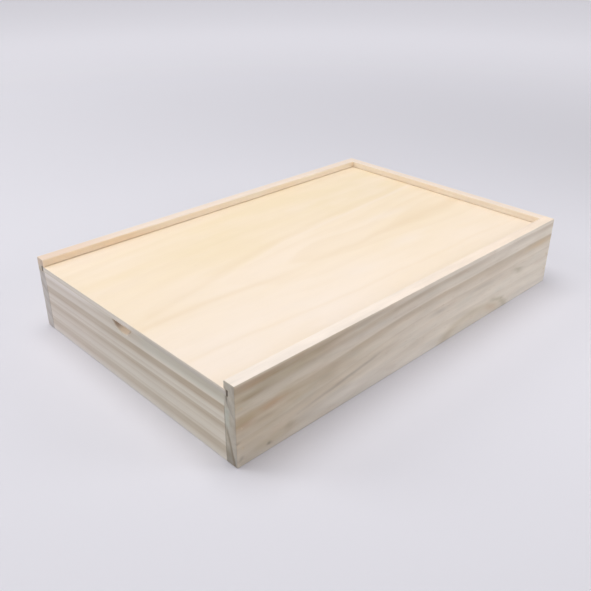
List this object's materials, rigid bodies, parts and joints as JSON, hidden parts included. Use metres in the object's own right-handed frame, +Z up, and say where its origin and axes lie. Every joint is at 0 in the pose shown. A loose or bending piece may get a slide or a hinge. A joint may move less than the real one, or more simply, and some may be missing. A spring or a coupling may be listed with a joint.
{
  "type": "sliding lid box",
  "caption": "Shallow wooden box for papers with a thin lid that slides out of grooves at one end, past a lower front wall with a thumb scoop.",
  "frame": {"origin": "middle of the underside of the box", "axes": "+X across the box to its right side, +Y from the front, where the lid slides out, to the back, +Z up"},
  "size_m": [0.23, 0.35, 0.0585],
  "materials": {
    "long_board_pine": "bare sanded pine, long boards",
    "short_board_pine": "bare sanded pine, short boards",
    "lid_plywood": "bare sanded light plywood",
    "bottom_plywood": "bare light plywood",
    "brad_steel": "bare flat steel wire"
  },
  "bodies": {
    "box": {"right_side_wall": "long_board_pine", "left_side_wall": "long_board_pine", "front_wall": "short_board_pine", "back_wall": "short_board_pine", "bottom_panel": "bottom_plywood", "front_right_brads": "brad_steel", "front_left_brads": "brad_steel", "back_right_brads": "brad_steel", "back_left_brads": "brad_steel"},
    "lid": {"sliding_lid": "lid_plywood"}
  },
  "joints": [
    {"name": "lid_slide", "type": "slide", "parent": "box", "child": "lid", "axis": [0, -1, 0], "range_m": [0, 0.35]}
  ]
}
